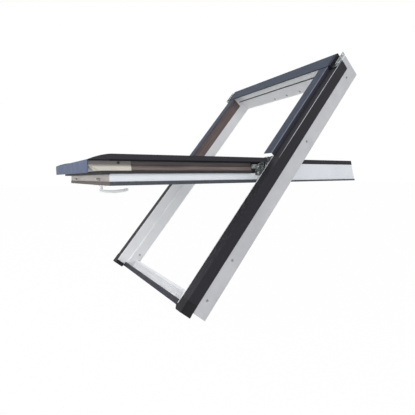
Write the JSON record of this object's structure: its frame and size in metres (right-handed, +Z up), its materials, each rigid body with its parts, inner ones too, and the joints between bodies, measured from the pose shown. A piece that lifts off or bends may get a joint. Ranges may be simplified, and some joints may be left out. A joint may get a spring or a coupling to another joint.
{
  "type": "centre-pivot roof window",
  "caption": "PVC roof window in its frame: a double-glazed sash that swings about side pivots, with a lever handle, lock rod, seals and metal claddings.",
  "frame": {"origin": "middle of the pivot axis, between the two hinges", "axes": "+Z up as installed in a roof of 50 degrees, +Y from outside into the room, +X to the right seen from outside, along the pivot axis"},
  "size_m": [0.782, 1.19, 0.9844],
  "materials": {
    "white_pvc": "smooth white, slight sheen",
    "beige_pvc": "matt beige",
    "brown_pvc": "matt grey-brown",
    "blue_grey_sheet": "powder coat, satin",
    "black_sheet": "powder coat, satin",
    "dark_sheet": "powder coat, satin",
    "black_plastic": "matt black",
    "zinc_steel": "zinc-plated",
    "cap_plastic": "matt light grey",
    "glass": "clear",
    "black_rubber": "matt",
    "grey_rubber": "matt",
    "spacer_metal": "dull",
    "handle_plastic": "smooth white"
  },
  "bodies": {
    "frame": {"cladding_end_cap_left": "black_plastic", "cladding_end_cap_right": "black_plastic", "frame_head": "white_pvc", "frame_jamb_left": "white_pvc", "frame_jamb_right": "white_pvc", "frame_sill": "white_pvc", "head_gasket": "black_rubber", "head_screw_caps": "cap_plastic", "hinge_frame_plate_left": "zinc_steel", "hinge_frame_plate_right": "zinc_steel", "hood_bracket_left": "zinc_steel", "hood_bracket_right": "zinc_steel", "hood_cover": "blue_grey_sheet", "hood_end_cap_left": "black_plastic", "hood_end_cap_right": "black_plastic", "lock_keepers": "zinc_steel", "reveal_plugs": "cap_plastic", "side_cladding_left": "black_sheet", "side_cladding_right": "black_sheet", "sill_cover": "dark_sheet", "sill_gasket": "black_rubber", "upper_liner_left": "brown_pvc", "upper_liner_right": "brown_pvc", "upper_side_cover_left": "blue_grey_sheet", "upper_side_cover_right": "blue_grey_sheet"},
    "sash": {"bottom_rail_cover": "blue_grey_sheet", "bottom_rail_front": "beige_pvc", "corner_end_plate_left": "beige_pvc", "corner_end_plate_right": "beige_pvc", "end_plate_screws": "zinc_steel", "glass_sealant": "black_rubber", "glass_spacer": "spacer_metal", "handle_rosette": "handle_plastic", "hinge_packer_left": "black_plastic", "hinge_packer_right": "black_plastic", "hinge_sash_plate_left": "zinc_steel", "hinge_sash_plate_right": "zinc_steel", "inner_glazing_gasket": "black_rubber", "inner_pane": "glass", "lock_gear_case": "zinc_steel", "lower_side_cover_left": "dark_sheet", "lower_side_cover_right": "dark_sheet", "outer_glazing_gasket": "black_rubber", "outer_pane": "glass", "room_seal_bottom": "grey_rubber", "room_seal_left": "grey_rubber", "room_seal_right": "grey_rubber", "sash_bottom_rail": "white_pvc", "sash_stile_left": "white_pvc", "sash_stile_right": "white_pvc", "sash_top_rail": "white_pvc", "side_trim_left": "brown_pvc", "side_trim_right": "brown_pvc", "step_gasket": "black_rubber", "top_glazing_bead": "dark_sheet", "upper_glazing_bead_left": "dark_sheet", "upper_glazing_bead_right": "dark_sheet"},
    "handle": {"handle": "handle_plastic"},
    "lock_rod": {"lock_rod": "zinc_steel"}
  },
  "joints": [
    {"name": "sash_pivot", "type": "hinge", "parent": "frame", "child": "sash", "pos_m": [0, 0, 0], "axis": [-1, 0, 0], "range_deg": [-50, 110]},
    {"name": "handle_turn", "type": "hinge", "parent": "sash", "child": "handle", "pos_m": [0, -0.537, -0.1], "axis": [0, 0, -1], "range_deg": [0, 90]},
    {"name": "lock_slide", "type": "slide", "parent": "sash", "child": "lock_rod", "axis": [1, 0, 0], "range_m": [0, 0.016]}
  ],
  "couplings": [
    {"joint": "lock_slide", "follows": "handle_turn", "m_per_rad": 0.010185}
  ]
}
